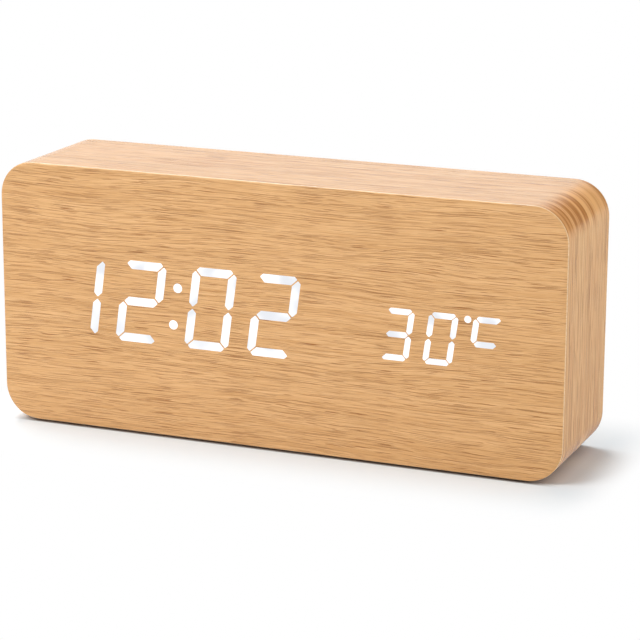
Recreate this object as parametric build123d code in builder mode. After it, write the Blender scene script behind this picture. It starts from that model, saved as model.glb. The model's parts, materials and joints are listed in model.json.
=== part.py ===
from build123d import *
from math import radians, tan
import os

# Digital LED desk clock: a veneered fibreboard box whose seven-segment display shines through the front.
# Millimetres. X runs to the reader's right, Y to the back, Z up. The origin is on the table, under the
# middle of the box.

os.makedirs("parts", exist_ok=True)

# Box
body_width = 150.0
body_depth = 35.0
body_height = 67.5
corner_radius = 8.9
veneer_thickness = 0.5
front_board_thickness = 2.5
back_board_thickness = 3.0
core_wall = 5.5
core_corner_least = 1.0
edge_softening = 0.3

# Feet
foot_height = 0.6
foot_diameter = 8.0
foot_inset_x = 14.0
foot_inset_y = 7.5

# Digits. Gaps run from skeleton to skeleton, and the digits' width is what the gaps leave of the display.
digit_slant = 0.135
display_rise = 0.4
time_side_margin = 4.17
time_digit_gap = 7.32
colon_gap = 9.37
time_digit_height = 18.9
time_stroke = 2.18
time_tip_gap = 0.25
time_tip_reach = 0.34
time_tip_rounding = 0.25
colon_drop = 0.2
colon_dot_diameter = 2.4
colon_dot_rise = 4.77
group_gap = 24.5
temperature_drop = 1.22
temperature_digit_gap = 5.1
temperature_to_time_width = 0.615
temperature_digit_height = 11.6
temperature_stroke = 1.48
temperature_tip_gap = 0.16
temperature_tip_reach = 0.22
temperature_tip_rounding = 0.27
unit_gap = 5.28
unit_letter_height = 6.12
unit_side_margin = 3.9
degree_dot_diameter = 1.75
degree_dot_shift = 0.44
degree_dot_rise = 5.6

# Display stack
inlay_play = 0.02
film_thickness = 0.2
reflector_depth = 6.0
reflector_rim = 2.4
reflector_inset = 13.0
reflector_play = 0.3
well_play = 0.05
display_board_thickness = 1.2
display_board_rim = 0.5
display_board_play = 1.5
chip_length = 1.6
chip_width = 0.8
chip_height = 0.7

# Parts on the back of the display board
driver_chip_length = 18.0
driver_chip_width = 7.5
driver_chip_height = 2.3
driver_chip_x = -20.0
driver_leg_count = 14
clock_chip_length = 10.0
clock_chip_width = 4.0
clock_chip_height = 1.6
clock_chip_x = 8.0
clock_leg_count = 8
chip_leg_pitch = 1.1
chip_leg_width = 0.4
chip_leg_thickness = 0.25
chip_leg_reach = 1.2
crystal_diameter = 2.0
crystal_length = 6.0
crystal_edge_radius = 0.25
crystal_x = 18.0

# Control board and what it carries
control_board_length = 92.0
control_board_height = 26.0
control_board_thickness = 1.6
button_pitch = 14.0
first_button_x = 34.0
button_diameter = 5.6
button_hole_play = 0.3
button_proud = 0.6
button_edge_radius = 0.4
button_flange_diameter = 7.8
button_flange_thickness = 1.0
button_travel = 0.5
button_mark_depth = 0.15
button_mark_size = 1.3
switch_width = 6.0
switch_height = 3.5
switch_lid = 0.6
plunger_diameter = 3.4
plunger_height = 0.9
plunger_play = 0.1
plunger_collar_diameter = 4.2
plunger_collar_thickness = 0.5
dome_diameter = 4.2
dome_height = 0.5
dome_thickness = 0.12
usb_x = -24.0
usb_width = 8.94
usb_height = 3.26
usb_wall = 0.3
usb_recess = 0.3
usb_hole_play = 0.4
usb_tongue_width = 6.7
usb_tongue_thickness = 0.7
usb_tongue_recess = 0.8
usb_floor_thickness = 1.0
microphone_x = -10.0
microphone_diameter = 6.0
microphone_length = 5.0
microphone_hole_diameter = 1.6
sensor_x = -38.0
sensor_bead_diameter = 2.6
sensor_leg_diameter = 0.5
sensor_leg_spacing = 1.3
sensor_leg_length = 2.2
vent_hole_diameter = 1.5
vent_hole_pitch = 3.0
sounder_x = 13.0
sounder_diameter = 12.0
sounder_height = 8.0
sounder_hole_diameter = 2.0
sounder_hole_depth = 3.0
capacitor_x = 23.5
capacitor_diameter = 5.0
capacitor_height = 7.0
capacitor_spacing = 12.0
coin_cell_x = -14.0
coin_cell_diameter = 20.0
coin_cell_thickness = 3.2
coin_cell_play = 0.15
coin_holder_rim = 2.0
coin_holder_corner = 6.5
coin_holder_floor = 0.8
connector_x = 36.0
connector_width = 10.0
connector_depth = 4.0
connector_height = 8.0
connector_low_rise = 1.0
battery_connector_x = 30.0
battery_connector_width = 6.0

# Spacers, screws and leads
spacer_diameter = 4.4
screw_play = 0.05
board_screw_diameter = 2.0
board_screw_head_diameter = 3.8
board_screw_head_height = 1.3
board_screw_bite = 1.9
board_screw_inset = 2.8
display_screw_spacing = 16.0
control_screw_spacing = 20.0
cross_width = 0.5
cross_length = 2.4
cross_depth = 0.6
lead_diameter = 1.2
lead_pitch = 1.8
display_lead_count = 4
lead_loop_rise = 8.0
lead_stub = 4.0
lead_bend_share = 0.45

# Battery bay
tray_side_gap = 1.9
cell_length = 44.5
cell_nub_diameter = 3.8
cell_nub_length = 0.8
cell_edge_radius = 0.5
cell_row_gap = 0.5
cell_play = 0.3
cell_end_gap = 0.05
contact_thickness = 0.4
contact_side_margin = 1.25
contact_end_margin = 1.75
contact_tab_width = 3.0
contact_tab_rise = 2.5
contact_slot_play = 0.2
spring_length = 4.0
spring_margin = 2.25
spring_wire = 0.6
spring_turns = 3
tray_wall = 1.3
tray_roof = 1.5
tray_tab_length = 8.0
tray_tab_thickness = 1.6
tray_slot_play = 0.2
tray_screw_diameter = 2.0
tray_screw_head_diameter = 3.8
tray_screw_length = 5.5
tray_screw_inset = 4.35
door_thickness = 1.6
door_play = 0.3
door_rib_height = 1.3
door_rib_width = 1.2
door_rib_inset = 8.0
latch_width = 6.0
latch_height = 3.0
latch_thickness = 1.0
finger_notch_radius = 5.0
finger_notch_depth = 1.0
knuckle_radius = 1.4
hinge_pin_diameter = 1.2
hinge_pin_play = 0.05

# Levels through the depth, front to back
front_y = -body_depth / 2
front_veneer_rear_y = front_y + veneer_thickness
film_rear_y = front_veneer_rear_y + film_thickness
reflector_rear_y = film_rear_y + reflector_depth
display_board_rear_y = reflector_rear_y + display_board_thickness
front_board_rear_y = front_veneer_rear_y + front_board_thickness
back_y = body_depth / 2
back_veneer_front_y = back_y - veneer_thickness
back_board_front_y = back_veneer_front_y - back_board_thickness
button_seat_y = back_board_front_y - button_flange_thickness
switch_top_y = button_seat_y - plunger_height
control_board_rear_y = switch_top_y - switch_height
control_board_front_y = control_board_rear_y - control_board_thickness
tray_y = (front_board_rear_y + back_board_front_y) / 2

# Levels up the height
base_z = foot_height
middle_z = base_z + body_height / 2
display_z = middle_z + display_rise
colon_z = display_z - colon_drop
temperature_z = display_z - temperature_drop
control_z = middle_z
# Battery bay: the tray fits the core's depth, and the cells fit the tray
core_depth = back_board_front_y - front_board_rear_y
tray_width = core_depth - 2 * tray_side_gap
bay_width = tray_width - 2 * tray_wall
cell_diameter = (bay_width - cell_row_gap - 2 * cell_play) / 2
row_pitch = cell_diameter + cell_row_gap
contact_width = cell_diameter - 2 * contact_side_margin
contact_height = cell_diameter - 2 * contact_end_margin
spring_diameter = cell_diameter - 2 * spring_margin
tray_screw_spacing = tray_width - 2 * tray_screw_inset
hinge_z = base_z + knuckle_radius
cell_bottom_z = base_z + door_thickness + door_rib_height + cell_play
cell_z = cell_bottom_z + cell_diameter / 2
tray_ceiling_z = cell_bottom_z + cell_diameter + cell_play
tray_top_z = tray_ceiling_z + tray_roof

# Widths and lengths that follow
board_width = body_width - 2 * veneer_thickness
board_height = body_height - 2 * veneer_thickness
board_radius = corner_radius - veneer_thickness
inner_width = board_width - 2 * core_wall
inner_height = board_height - 2 * core_wall
inner_radius = max(board_radius - core_wall, core_corner_least)
reflector_length = body_width - 2 * reflector_inset
reflector_height = time_digit_height + time_stroke + 2 * reflector_rim
display_board_length = inner_width - 2 * display_board_play
display_board_height = reflector_height + 2 * display_board_rim
bay_length = 2 * (cell_length + cell_end_gap) + spring_length + 2 * contact_thickness
tray_length = bay_length + 2 * tray_wall
flange_length = tray_length + 2 * tray_tab_length
hinge_x = bay_length / 2 - door_play - knuckle_radius
control_spacer_length = back_board_front_y - control_board_rear_y
display_spacer_length = reflector_rear_y - front_board_rear_y


def facing_front(y):
    """Plane across the clock at depth y: sketch x is X, sketch y is Z, and extrusions run to the front."""
    return Plane(origin=(0, y, 0), x_dir=(1, 0, 0), z_dir=(0, -1, 0))


def facing_back(y):
    """Like facing_front, but sketch x is -X and extrusions run to the back."""
    return Plane(origin=(0, y, 0), x_dir=(-1, 0, 0), z_dir=(0, 1, 0))


# Digit cells. A cell is (centre x, centre z, width, height, style), where a style is (stroke, gap to a tip,
# how far tips reach out at a digit's corners). The colon and degree are dots.
time_style = (time_stroke, time_tip_gap, time_tip_reach)
temperature_style = (temperature_stroke, temperature_tip_gap, temperature_tip_reach)
gaps_length = 2 * time_digit_gap + colon_gap + group_gap + temperature_digit_gap + unit_gap
digits_length = reflector_length - time_side_margin - gaps_length - unit_side_margin
time_digit_width = digits_length / (4 + 3 * temperature_to_time_width)
temperature_digit_width = temperature_to_time_width * time_digit_width
time_pitch = time_digit_width + time_digit_gap
first_digit_x = -reflector_length / 2 + time_side_margin + time_digit_width / 2
colon_x = first_digit_x + time_pitch + (time_digit_width + colon_gap) / 2
minutes_x = first_digit_x + time_pitch + time_digit_width + colon_gap
time_digits_x = [first_digit_x, first_digit_x + time_pitch, minutes_x, minutes_x + time_pitch]
time_cells = [(x, display_z, time_digit_width, time_digit_height, time_style) for x in time_digits_x]
unit_x = reflector_length / 2 - unit_side_margin - temperature_digit_width / 2
last_digit_x = unit_x - temperature_digit_width - unit_gap
temperature_digits_x = [last_digit_x - temperature_digit_width - temperature_digit_gap, last_digit_x]
temperature_cells = [
    (x, temperature_z, temperature_digit_width, temperature_digit_height, temperature_style)
    for x in temperature_digits_x
]
time_shown = ["bc", "abged", "abcdef", "abged"]
temperature_shown = ["abgcd", "abcdef"]
all_segments = "abcdefg"


def digit_corners(cell):
    """Skeleton corners of an upright digit, measured from its centre, and how far tips reach out at each."""
    _, _, width, height, (_, _, reach) = cell
    corners = {}
    for row, rise in (("top", 1), ("middle", 0), ("bottom", -1)):
        for column, side in (("left", -1), ("right", 1)):
            outward = (side * abs(rise) * reach, rise * reach)
            corners[row, column] = ((side * width / 2, rise * height / 2), outward)
    return corners


def digit_segments(cell, letters):
    """Skeleton ends of the named segments, a at the top and then clockwise, with g across the middle."""
    corner = digit_corners(cell)
    ends = {
        "a": (corner["top", "left"], corner["top", "right"]),
        "b": (corner["top", "right"], corner["middle", "right"]),
        "c": (corner["middle", "right"], corner["bottom", "right"]),
        "d": (corner["bottom", "left"], corner["bottom", "right"]),
        "e": (corner["middle", "left"], corner["bottom", "left"]),
        "f": (corner["top", "left"], corner["middle", "left"]),
        "g": (corner["middle", "left"], corner["middle", "right"]),
    }
    return [(cell, ends[letter]) for letter in letters]


def unit_segments(with_lower_stroke):
    """The temperature unit's C: top bar, left stroke and lower bar, and the stroke that would make an F."""
    cell = (unit_x, temperature_z, temperature_digit_width, temperature_digit_height, temperature_style)
    corner = digit_corners(cell)
    low = temperature_digit_height / 2 - unit_letter_height
    low_left = ((-temperature_digit_width / 2, low), (0.0, 0.0))
    low_right = ((temperature_digit_width / 2, low), (0.0, 0.0))
    strokes = [
        (cell, (corner["top", "left"], corner["top", "right"])),
        (cell, (corner["top", "left"], low_left)),
        (cell, (low_left, low_right)),
    ]
    if with_lower_stroke:
        strokes.append((cell, (low_left, corner["bottom", "left"])))
    return strokes


def segment_end(corner, inward, tip, half):
    """A segment's left edge, tip and right edge at one end, with left and right as seen looking inward."""
    point, reach = (Vector(*pair) for pair in corner)
    across = Vector(-inward.Y, inward.X)
    back = reach.dot(inward)
    aside = reach.dot(across)
    return [
        point + inward * (tip + half + back - aside) + across * half,
        point + inward * (tip + back) + across * aside,
        point + inward * (tip + half + back + aside) - across * half,
    ]


def segment_outline(segment, play):
    """Corner points of one pointed segment, grown by play on every side and leant over."""
    (centre_x, centre_z, _, _, (stroke, tip_gap, _)), (start, end) = segment
    along = (Vector(*end[0]) - Vector(*start[0])).normalized()
    tip = tip_gap - play
    half = stroke / 2 + play
    upright = segment_end(start, along, tip, half) + segment_end(end, -along, tip, half)
    return [(centre_x + point.X + digit_slant * point.Y, centre_z + point.Y) for point in upright]


def dot_place(centre_x, centre_z, offset_x, rise):
    """Centre of a dot that leans over with the digits."""
    return (centre_x + offset_x + digit_slant * rise, centre_z + rise)


time_segments = []
for time_cell, letters in zip(time_cells, time_shown):
    time_segments += digit_segments(time_cell, letters)
temperature_segments = unit_segments(False)
for temperature_cell, letters in zip(temperature_cells, temperature_shown):
    temperature_segments += digit_segments(temperature_cell, letters)
every_segment = unit_segments(True)
for any_cell in time_cells + temperature_cells:
    every_segment += digit_segments(any_cell, all_segments)
colon_dots = [
    dot_place(colon_x, colon_z, 0.0, colon_dot_rise),
    dot_place(colon_x, colon_z, 0.0, -colon_dot_rise),
]
degree_dot = dot_place((last_digit_x + unit_x) / 2, temperature_z, degree_dot_shift, degree_dot_rise)


def time_sketch(play):
    """The lit time: its segments, with softened tips, and the colon's two dots."""
    with BuildSketch() as lit:
        for segment in time_segments:
            Polygon(*segment_outline(segment, play), align=None)
        fillet(lit.vertices(), time_tip_rounding)
        with Locations(*colon_dots):
            Circle(colon_dot_diameter / 2 + play)
    return lit.sketch


def temperature_sketch(play):
    """The lit temperature: its segments, with softened tips, and the degree dot."""
    with BuildSketch() as lit:
        for segment in temperature_segments:
            Polygon(*segment_outline(segment, play), align=None)
        fillet(lit.vertices(), temperature_tip_rounding)
        with Locations(degree_dot):
            Circle(degree_dot_diameter / 2 + play)
    return lit.sketch


def wells_sketch():
    """Every segment that the display can light, and its dots."""
    with BuildSketch() as wells:
        for segment in every_segment:
            Polygon(*segment_outline(segment, well_play), align=None)
        with Locations(*colon_dots):
            Circle(colon_dot_diameter / 2 + well_play)
        with Locations(degree_dot):
            Circle(degree_dot_diameter / 2 + well_play)
    return wells.sketch


time_inlays = time_sketch(0)
time_windows = time_sketch(inlay_play)
temperature_inlays = temperature_sketch(0)
temperature_windows = temperature_sketch(inlay_play)
segment_wells = wells_sketch()


def body_outline(inset):
    """Sketch the box's rounded outline, drawn in by inset."""
    with Locations((0, middle_z)):
        RectangleRounded(body_width - 2 * inset, body_height - 2 * inset, corner_radius - inset)


def cross_recess():
    """Sketch a screw's cross."""
    Rectangle(cross_length, cross_width)
    Rectangle(cross_width, cross_length)


# Front veneer, with a window for each lit place
with BuildPart() as front_veneer:
    with BuildSketch(facing_front(front_veneer_rear_y)):
        body_outline(0)
    extrude(amount=veneer_thickness)
    fillet(front_veneer.faces().sort_by(Axis.Y)[0].edges(), edge_softening)
    with BuildSketch(facing_front(front_veneer_rear_y)):
        add(time_windows)
        add(temperature_windows)
    extrude(amount=veneer_thickness, mode=Mode.SUBTRACT)
front_veneer.part.label = "front_veneer"
export_step(front_veneer.part, "parts/front_veneer.step")

# Lit places of the time, flush with the veneer
with BuildPart() as lit_time_segments:
    with BuildSketch(facing_front(front_veneer_rear_y)):
        add(time_inlays)
    extrude(amount=veneer_thickness)
lit_time_segments.part.label = "lit_time_segments"
export_step(lit_time_segments.part, "parts/lit_time_segments.step")

# Lit places of the temperature, flush with the veneer
with BuildPart() as lit_temperature_segments:
    with BuildSketch(facing_front(front_veneer_rear_y)):
        add(temperature_inlays)
    extrude(amount=veneer_thickness)
lit_temperature_segments.part.label = "lit_temperature_segments"
export_step(lit_temperature_segments.part, "parts/lit_temperature_segments.step")

# Veneer band around the box, between the front and back sheets, open where the battery tray's flange lies
with BuildPart() as wrap_veneer:
    with BuildSketch(facing_front(back_veneer_front_y)):
        body_outline(0)
        with Locations((0, middle_z)):
            RectangleRounded(board_width, board_height, board_radius, mode=Mode.SUBTRACT)
    extrude(amount=back_veneer_front_y - front_veneer_rear_y)
    with BuildSketch(Plane.XY.offset(base_z)):
        with Locations((0, tray_y)):
            Rectangle(flange_length + 2 * tray_slot_play, tray_width + 2 * tray_slot_play)
    extrude(amount=veneer_thickness, mode=Mode.SUBTRACT)
wrap_veneer.part.label = "wrap_veneer"
export_step(wrap_veneer.part, "parts/wrap_veneer.step")

# Where the display board's screws bite into the front board
display_screw_x = display_board_length / 2 - board_screw_inset
display_screw_places = [
    (x, z)
    for x in (-display_screw_x, display_screw_x)
    for z in (display_z - display_screw_spacing / 2, display_z + display_screw_spacing / 2)
]

# Front board, with the display's window and blind holes for its screws
with BuildPart() as front_board:
    with BuildSketch(facing_front(front_board_rear_y)):
        body_outline(veneer_thickness)
        with Locations((0, display_z)):
            window_length = reflector_length + 2 * reflector_play
            window_height = reflector_height + 2 * reflector_play
            Rectangle(window_length, window_height, mode=Mode.SUBTRACT)
    extrude(amount=front_board_thickness)
    with BuildSketch(facing_front(front_board_rear_y)):
        with Locations(*display_screw_places):
            Circle(board_screw_diameter / 2 + screw_play)
    extrude(amount=board_screw_bite + screw_play, mode=Mode.SUBTRACT)
front_board.part.label = "front_board"
export_step(front_board.part, "parts/front_board.step")

# Where the tray's screws go in
tray_screw_x = (tray_length + tray_tab_length) / 2
tray_screw_places = [
    (x, tray_y + y)
    for x in (-tray_screw_x, tray_screw_x)
    for y in (-tray_screw_spacing / 2, tray_screw_spacing / 2)
]

# Core ring, with the slot and rebate for the battery tray in its floor
with BuildPart() as body_core:
    with BuildSketch(facing_front(back_board_front_y)):
        body_outline(veneer_thickness)
        with Locations((0, middle_z)):
            RectangleRounded(inner_width, inner_height, inner_radius, mode=Mode.SUBTRACT)
    extrude(amount=core_depth)
    with BuildSketch(Plane.XY.offset(base_z)):
        with Locations((0, tray_y)):
            Rectangle(tray_length + 2 * tray_slot_play, tray_width + 2 * tray_slot_play)
    extrude(amount=veneer_thickness + core_wall + inner_radius, mode=Mode.SUBTRACT)
    with BuildSketch(Plane.XY.offset(base_z)):
        with Locations((0, tray_y)):
            Rectangle(flange_length + 2 * tray_slot_play, tray_width + 2 * tray_slot_play)
    extrude(amount=tray_tab_thickness, mode=Mode.SUBTRACT)
    with BuildSketch(Plane.XY.offset(base_z)):
        with Locations(*tray_screw_places):
            Circle(tray_screw_diameter / 2 + screw_play)
    extrude(amount=tray_screw_length + screw_play, mode=Mode.SUBTRACT)
body_core.part.label = "body_core"
export_step(body_core.part, "parts/body_core.step")

# Places on the back
button_names = ["set", "up", "down"]
button_places = [(first_button_x - index * button_pitch, control_z) for index in range(len(button_names))]
vent_places = [
    (sensor_x + column * vent_hole_pitch, control_z + row * vent_hole_pitch)
    for column in (-0.5, 0.5)
    for row in (-1, 0, 1)
]
control_screw_x = control_board_length / 2 - board_screw_inset
control_screw_places = [
    (x, z)
    for x in (-control_screw_x, control_screw_x)
    for z in (control_z - control_screw_spacing / 2, control_z + control_screw_spacing / 2)
]


def draw_back_holes():
    """Sketch the holes that go through the back board and its veneer."""
    with Locations(*button_places):
        Circle(button_diameter / 2 + button_hole_play)
    with Locations((usb_x, control_z)):
        socket_hole_height = usb_height + 2 * usb_hole_play
        SlotOverall(usb_width + 2 * usb_hole_play, socket_hole_height)
    with Locations((microphone_x, control_z)):
        Circle(microphone_hole_diameter / 2)
    with Locations(*vent_places):
        Circle(vent_hole_diameter / 2)


# Back board
with BuildPart() as back_board:
    with BuildSketch(facing_front(back_veneer_front_y)):
        body_outline(veneer_thickness)
    extrude(amount=back_board_thickness)
    with BuildSketch(facing_front(back_veneer_front_y)):
        draw_back_holes()
    extrude(amount=back_board_thickness, mode=Mode.SUBTRACT)
    with BuildSketch(facing_back(back_board_front_y)):
        with Locations(*[(-x, z) for x, z in control_screw_places]):
            Circle(board_screw_diameter / 2 + screw_play)
    extrude(amount=board_screw_bite + screw_play, mode=Mode.SUBTRACT)
back_board.part.label = "back_board"
export_step(back_board.part, "parts/back_board.step")

# Back veneer
with BuildPart() as back_veneer:
    with BuildSketch(facing_front(back_y)):
        body_outline(0)
    extrude(amount=veneer_thickness)
    fillet(back_veneer.faces().sort_by(Axis.Y)[-1].edges(), edge_softening)
    with BuildSketch(facing_front(back_y)):
        draw_back_holes()
    extrude(amount=veneer_thickness, mode=Mode.SUBTRACT)
back_veneer.part.label = "back_veneer"
export_step(back_veneer.part, "parts/back_veneer.step")

# Rubber feet
foot_x = body_width / 2 - foot_inset_x
foot_y = body_depth / 2 - foot_inset_y
with BuildPart() as rubber_feet:
    with BuildSketch():
        with GridLocations(2 * foot_x, 2 * foot_y, 2, 2):
            Circle(foot_diameter / 2)
    extrude(amount=foot_height)
rubber_feet.part.label = "rubber_feet"
export_step(rubber_feet.part, "parts/rubber_feet.step")

# Diffuser film behind the veneer
with BuildPart() as diffuser_film:
    with BuildSketch(facing_front(film_rear_y)):
        with Locations((0, display_z)):
            Rectangle(reflector_length, reflector_height)
    extrude(amount=film_thickness)
diffuser_film.part.label = "diffuser_film"
export_step(diffuser_film.part, "parts/diffuser_film.step")

# Reflector block: one well for each segment and dot
with BuildPart() as display_reflector:
    with BuildSketch(facing_front(reflector_rear_y)):
        with Locations((0, display_z)):
            Rectangle(reflector_length, reflector_height)
    extrude(amount=reflector_depth)
    with BuildSketch(facing_front(reflector_rear_y)):
        add(segment_wells)
    extrude(amount=reflector_depth, mode=Mode.SUBTRACT)
display_reflector.part.label = "display_reflector"
export_step(display_reflector.part, "parts/display_reflector.step")

# Display board
with BuildPart() as display_board:
    with BuildSketch(facing_front(display_board_rear_y)):
        with Locations((0, display_z)):
            Rectangle(display_board_length, display_board_height)
        with Locations(*display_screw_places):
            Circle(board_screw_diameter / 2 + screw_play, mode=Mode.SUBTRACT)
    extrude(amount=display_board_thickness)
display_board.part.label = "display_board"
export_step(display_board.part, "parts/display_board.step")

# One light chip in each well, lying along its segment
with BuildPart() as segment_leds:
    with BuildSketch(facing_front(reflector_rear_y)):
        for (cell_x, cell_z_middle, _, _, _), ((start, _), (end, _)) in every_segment:
            middle_x = (start[0] + end[0]) / 2
            middle_rise = (start[1] + end[1]) / 2
            upright = start[0] == end[0]
            with Locations((cell_x + middle_x + digit_slant * middle_rise, cell_z_middle + middle_rise)):
                Rectangle(chip_length, chip_width, rotation=90 if upright else 0)
        with Locations(*colon_dots, degree_dot):
            Rectangle(chip_width, chip_width)
    extrude(amount=chip_height)
segment_leds.part.label = "segment_leds"
export_step(segment_leds.part, "parts/segment_leds.step")


def leg_places(leg_count, length_x):
    """Leg centres along one side of a chip whose middle is at length_x."""
    return [length_x + (index - (leg_count - 1) / 2) * chip_leg_pitch for index in range(leg_count)]


# Driver chip on the back of the display board, with its legs
with BuildPart() as driver_chip:
    with BuildSketch(facing_back(display_board_rear_y + chip_leg_thickness)):
        with Locations((-driver_chip_x, display_z)):
            Rectangle(driver_chip_length, driver_chip_width)
    extrude(amount=driver_chip_height - chip_leg_thickness)
    with BuildSketch(facing_back(display_board_rear_y)):
        for leg_x in leg_places(driver_leg_count, driver_chip_x):
            with Locations((-leg_x, display_z)):
                Rectangle(chip_leg_width, driver_chip_width + 2 * chip_leg_reach)
    extrude(amount=chip_leg_thickness)
driver_chip.part.label = "driver_chip"
export_step(driver_chip.part, "parts/driver_chip.step")

# Clock chip
with BuildPart() as clock_chip:
    with BuildSketch(facing_back(display_board_rear_y + chip_leg_thickness)):
        with Locations((-clock_chip_x, display_z)):
            Rectangle(clock_chip_length, clock_chip_width)
    extrude(amount=clock_chip_height - chip_leg_thickness)
    with BuildSketch(facing_back(display_board_rear_y)):
        for leg_x in leg_places(clock_leg_count, clock_chip_x):
            with Locations((-leg_x, display_z)):
                Rectangle(chip_leg_width, clock_chip_width + 2 * chip_leg_reach)
    extrude(amount=chip_leg_thickness)
clock_chip.part.label = "clock_chip"
export_step(clock_chip.part, "parts/clock_chip.step")

# Timing crystal, a can lying on the board
with BuildPart() as timing_crystal:
    crystal_centre = (crystal_x, display_board_rear_y + crystal_diameter / 2, display_z)
    with Locations(crystal_centre):
        Cylinder(crystal_diameter / 2, crystal_length)
    fillet(timing_crystal.edges().filter_by(GeomType.CIRCLE), crystal_edge_radius)
timing_crystal.part.label = "timing_crystal"
export_step(timing_crystal.part, "parts/timing_crystal.step")

# Connector on the display board, its leads leaving at the top
with BuildPart() as display_connector:
    with BuildSketch(facing_back(display_board_rear_y)):
        with Locations((-connector_x, display_z + connector_low_rise + connector_height / 2)):
            Rectangle(connector_width, connector_height)
    extrude(amount=connector_depth)
display_connector.part.label = "display_connector"
export_step(display_connector.part, "parts/display_connector.step")


def board_screw(shank_length):
    """Pan-head screw with a cross, its head above local z 0 and its shank below."""
    with BuildPart() as screw:
        with BuildSketch():
            Circle(board_screw_head_diameter / 2)
        extrude(amount=board_screw_head_height)
        fillet(screw.faces().sort_by(Axis.Z)[-1].edges(), board_screw_head_height / 2)
        with BuildSketch(Plane.XY.offset(board_screw_head_height)):
            cross_recess()
        extrude(amount=-cross_depth, mode=Mode.SUBTRACT)
        with BuildSketch():
            Circle(board_screw_diameter / 2)
        extrude(amount=-shank_length)
    return screw.part


def placed_on(plane, places):
    """Locations on a plane for sketch places."""
    return [plane * Location((x, z, 0)) for x, z in places]


# Display board's spacers and screws
with BuildPart() as display_spacers:
    with BuildSketch(facing_front(reflector_rear_y)):
        with Locations(*display_screw_places):
            Circle(spacer_diameter / 2)
            Circle(board_screw_diameter / 2 + screw_play, mode=Mode.SUBTRACT)
    extrude(amount=display_spacer_length)
display_spacers.part.label = "display_spacers"
export_step(display_spacers.part, "parts/display_spacers.step")

display_screw = board_screw(display_board_thickness + display_spacer_length + board_screw_bite)
with BuildPart() as display_screws:
    mirrored_places = [(-x, z) for x, z in display_screw_places]
    with Locations(*placed_on(facing_back(display_board_rear_y), mirrored_places)):
        add(display_screw)
display_screws.part.label = "display_screws"
export_step(display_screws.part, "parts/display_screws.step")

# Control board behind the back board
with BuildPart() as control_board:
    with BuildSketch(facing_front(control_board_rear_y)):
        with Locations((0, control_z)):
            Rectangle(control_board_length, control_board_height)
        with Locations(*control_screw_places):
            Circle(board_screw_diameter / 2 + screw_play, mode=Mode.SUBTRACT)
    extrude(amount=control_board_thickness)
control_board.part.label = "control_board"
export_step(control_board.part, "parts/control_board.step")

with BuildPart() as control_spacers:
    with BuildSketch(facing_front(back_board_front_y)):
        with Locations(*control_screw_places):
            Circle(spacer_diameter / 2)
            Circle(board_screw_diameter / 2 + screw_play, mode=Mode.SUBTRACT)
    extrude(amount=control_spacer_length)
control_spacers.part.label = "control_spacers"
export_step(control_spacers.part, "parts/control_spacers.step")

control_screw = board_screw(control_board_thickness + control_spacer_length + board_screw_bite)
with BuildPart() as control_screws:
    with Locations(*placed_on(facing_front(control_board_front_y), control_screw_places)):
        add(control_screw)
control_screws.part.label = "control_screws"
export_step(control_screws.part, "parts/control_screws.step")


def draw_button_mark(name, centre):
    """Sketch a button's plain mark: a dot for set, and arrowheads for up and down."""
    turn = {"up": 0, "down": 180}
    with Locations(centre):
        if name == "set":
            Circle(button_mark_size / 2)
        else:
            RegularPolygon(button_mark_size, 3, rotation=90 + turn[name])


# Push buttons: a cap held in by its flange, and the switch plunger that it presses
plunger_inner_y = switch_top_y - switch_lid - plunger_play - plunger_collar_thickness
for name, (button_x, button_z) in zip(button_names, button_places):
    with BuildPart() as cap:
        with BuildSketch(facing_back(button_seat_y)):
            with Locations((-button_x, button_z)):
                Circle(button_flange_diameter / 2)
        extrude(amount=button_flange_thickness)
        with BuildSketch(facing_back(back_board_front_y)):
            with Locations((-button_x, button_z)):
                Circle(button_diameter / 2)
        extrude(amount=back_board_thickness + veneer_thickness + button_proud)
        fillet(cap.faces().sort_by(Axis.Y)[-1].edges(), button_edge_radius)
        with BuildSketch(facing_back(back_y + button_proud)):
            draw_button_mark(name, (-button_x, button_z))
        extrude(amount=-button_mark_depth, mode=Mode.SUBTRACT)
    cap.part.label = f"{name}_button"
    export_step(cap.part, f"parts/{name}_button.step")

    with BuildPart() as plunger:
        with BuildSketch(facing_back(plunger_inner_y)):
            with Locations((-button_x, button_z)):
                Circle(plunger_collar_diameter / 2)
        extrude(amount=plunger_collar_thickness)
        with BuildSketch(facing_front(button_seat_y)):
            with Locations((button_x, button_z)):
                Circle(plunger_diameter / 2)
        extrude(amount=button_seat_y - plunger_inner_y)
    plunger.part.label = f"{name}_plunger"
    export_step(plunger.part, f"parts/{name}_plunger.step")

# Switch bodies: a hollow block with a lid that keeps the plunger's collar in
dome_floor_y = plunger_inner_y - button_travel - plunger_play - dome_height
with BuildPart() as switch_bodies:
    with BuildSketch(facing_front(switch_top_y)):
        with Locations(*button_places):
            Rectangle(switch_width, switch_width)
    extrude(amount=switch_height)
    with BuildSketch(facing_front(switch_top_y)):
        with Locations(*button_places):
            Circle(plunger_diameter / 2 + plunger_play)
    extrude(amount=switch_lid, mode=Mode.SUBTRACT)
    with BuildSketch(facing_front(switch_top_y - switch_lid)):
        with Locations(*button_places):
            Circle(plunger_collar_diameter / 2 + plunger_play)
    extrude(amount=switch_top_y - switch_lid - dome_floor_y, mode=Mode.SUBTRACT)
switch_bodies.part.label = "switch_bodies"
export_step(switch_bodies.part, "parts/switch_bodies.step")

# Snap domes on the switches' floors, drawn at the height that they have when pressed
dome_rim = dome_diameter / 2
dome_radius = (dome_rim ** 2 + dome_height ** 2) / (2 * dome_height)
dome_centre_z = dome_height - dome_radius
dome_inner_rim = ((dome_radius - dome_thickness) ** 2 - dome_centre_z ** 2) ** 0.5


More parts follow.
